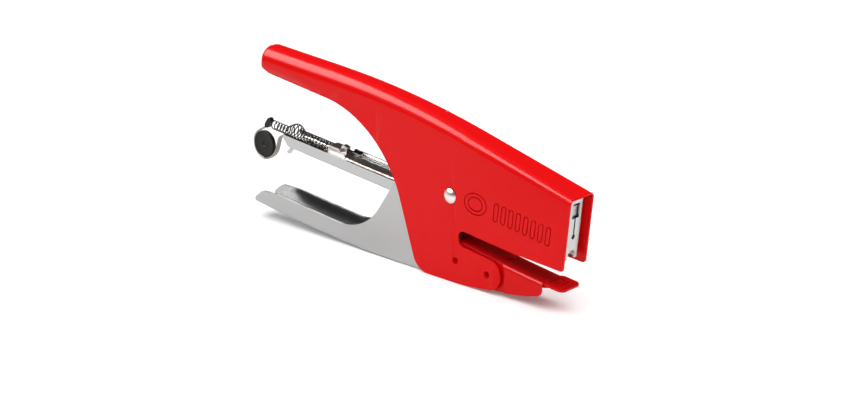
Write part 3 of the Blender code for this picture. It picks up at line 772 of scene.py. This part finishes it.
pusher_side = [
    (PUSHER[1], -8.0),
    (PUSHER[1], -4.4, 0.8),
    (-63.4, -3.2, 0.4),
    (-64.8, -2.1, 0.4),
    (PUSHER[0], -2.1, 0.6),
    (PUSHER[0], -8.0),
]
pusher = plate("pusher_block", pusher_side, -2.55, 2.55)
tab_side = [(-65.4, -5.0), (-61.9, -5.0), (-61.7, -0.9, 0.3), (-64.1, -0.4, 0.4), (-64.7, -1.4)]
shape(pusher, plate("pusher_tab", tab_side, -1.1, 1.1), "UNION")


def lengthwise(name, radius, start, end):
    """Round rod along the feed axis."""
    ring = [(radius * math.cos(a), FEED_AXIS + radius * math.sin(a)) for a in circle(32)]
    return loft(name, [[(x, y, z) for y, z in ring] for x in (start, end)])


shape(pusher, lengthwise("pusher_bore", STEM_RADIUS + 0.15, PUSHER[0] - 1.0, PUSHER[0] + 8.0))
place(pusher, DIPPED, "pusher", ["pusher"], PUSHER_LOOK, 0.1)
stem = lengthwise("stem_rod", STEM_RADIUS, -87.0, PUSHER[0] + 7.5)
place(stem, DIPPED, "pusher", ["pusher_stem"], ROD, 0.15)

# Feed spring: (turns, x, centre height, radius) at its stages, humped where it enters the magazine
FEED_STAGES = [
    (0.0, -106.6, -4.65, 1.75),
    (5.4, -97.2, -4.6, 1.8),
    (7.0, -94.2, -3.6, 2.75),
    (8.4, -92.2, -3.3, 3.2),
    (9.6, -90.6, -3.6, 2.9),
    (10.8, -88.8, -4.2, 2.1),
    (20.4, -71.4, -4.2, 2.1),
]
PER_TURN = 24


def feed_at(turns):
    """Place along, centre height and radius of the feed spring after so many turns."""
    for one, two in zip(FEED_STAGES, FEED_STAGES[1:]):
        if turns <= two[0]:
            share = (turns - one[0]) / (two[0] - one[0])
            return [a + (b - a) * share for a, b in zip(one[1:], two[1:])]
    return list(FEED_STAGES[-1][1:])


feed = []
for k in range(int(FEED_STAGES[-1][0] * PER_TURN) + 1):
    x, height, size = feed_at(k / PER_TURN)
    angle = math.tau * k / PER_TURN
    feed.append((x, size * math.cos(angle), height + size * math.sin(angle)))
spring = tube("feed_coil", feed, FEED_WIRE, 10)
spring.data.transform(DIPPED)
spring.data.materials.append(COIL)
spring.data.shade_smooth()
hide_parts("feed_spring")
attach(spring, "loader")
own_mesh(spring)

wire.data.transform(DIPPED)
wire.data.materials.append(RETURN)
wire.data.shade_smooth()
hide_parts("return_spring")
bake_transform(wire)

# Floor, light and camera
FLOOR_HALF = 6.0
floor_mesh = bpy.data.meshes.new("floor")
floor_corners = [(-FLOOR_HALF, -FLOOR_HALF, 0), (FLOOR_HALF, -FLOOR_HALF, 0)]
floor_corners += [(FLOOR_HALF, FLOOR_HALF, 0), (-FLOOR_HALF, FLOOR_HALF, 0)]
floor_mesh.from_pydata(floor_corners, [], [(0, 1, 2, 3)])
floor = bpy.data.objects.new("floor", floor_mesh)
bpy.context.scene.collection.objects.link(floor)
paper = bpy.data.materials.new("paper_floor")
paper.use_nodes = True
finish = paper.node_tree.nodes["Principled BSDF"].inputs
finish["Base Color"].default_value = (0.86, 0.86, 0.86, 1)
finish["Roughness"].default_value = 0.9
finish["Specular IOR Level"].default_value = 0.1
finish["Emission Color"].default_value = (1, 1, 1, 1)
finish["Emission Strength"].default_value = 0.14
floor_mesh.materials.append(paper)

world = bpy.data.worlds.new("studio")
bpy.context.scene.world = world
world.use_nodes = True
world.node_tree.nodes["Background"].inputs["Color"].default_value = (1, 1, 1, 1)
world.node_tree.nodes["Background"].inputs["Strength"].default_value = 0.04


AIM = Vector((0.0, 0.0, 0.03))


def softbox(name, direction, distance, size, strength, across=(0.0, 1.0, 0.0), mirrored=True, lit=True):
    """Area light aimed at the stapler; strength is its radiance, and its second side runs along across."""
    data = bpy.data.lights.new(name, "AREA")
    data.shape = "RECTANGLE"
    data.size, data.size_y = size
    data.energy = strength * size[0] * size[1] * math.pi
    lamp = bpy.data.objects.new(name, data)
    way = Vector(direction).normalized()
    first = Vector(across).cross(way).normalized()
    turn = Matrix((first, way.cross(first), way)).transposed()
    lamp.matrix_world = Matrix.Translation(AIM + way * distance) @ turn.to_4x4()
    lamp.visible_glossy = mirrored
    lamp.visible_diffuse = lit
    bpy.context.scene.collection.objects.link(lamp)


softbox("strip_softbox", (-0.42, -0.43, 0.80), 1.6, (1.35, 1.05), 18.0, (0.0, 0.84, 0.54), lit=False)
softbox("key_fill", (-0.42, -0.45, 0.79), 1.6, (2.2, 2.2), 0.98, mirrored=False)
softbox("dome_fill", (0.1, 0.0, 1.0), 1.8, (3.4, 3.4), 2.0, mirrored=False)
softbox("nose_fill", (0.75, -0.45, 0.5), 1.6, (1.2, 1.2), 1.0, mirrored=False)

# The camera's own axes in the row frame, and where it is from the main pin
RIGHT = Vector((0.73733, 0.67553, 0.0))
UP = Vector((-0.21893, 0.23896, 0.94603))
BACK = Vector((0.63907, -0.69754, 0.32409))
STAND_OFF = Vector((0.40918, -0.46490, 0.20673))
FOCAL_LENGTH = 71.16
lens = bpy.data.cameras.new("camera")
lens.sensor_width = 36.0
lens.lens = FOCAL_LENGTH
lens.clip_start = 0.01
camera = bpy.data.objects.new("camera", lens)
turn = Matrix((RIGHT, UP, BACK)).transposed()
camera.matrix_world = Matrix.Translation(Vector(PIN) + STAND_OFF) @ turn.to_4x4()
bpy.context.scene.collection.objects.link(camera)
bpy.context.scene.camera = camera
bpy.context.scene.view_settings.view_transform = "Standard"
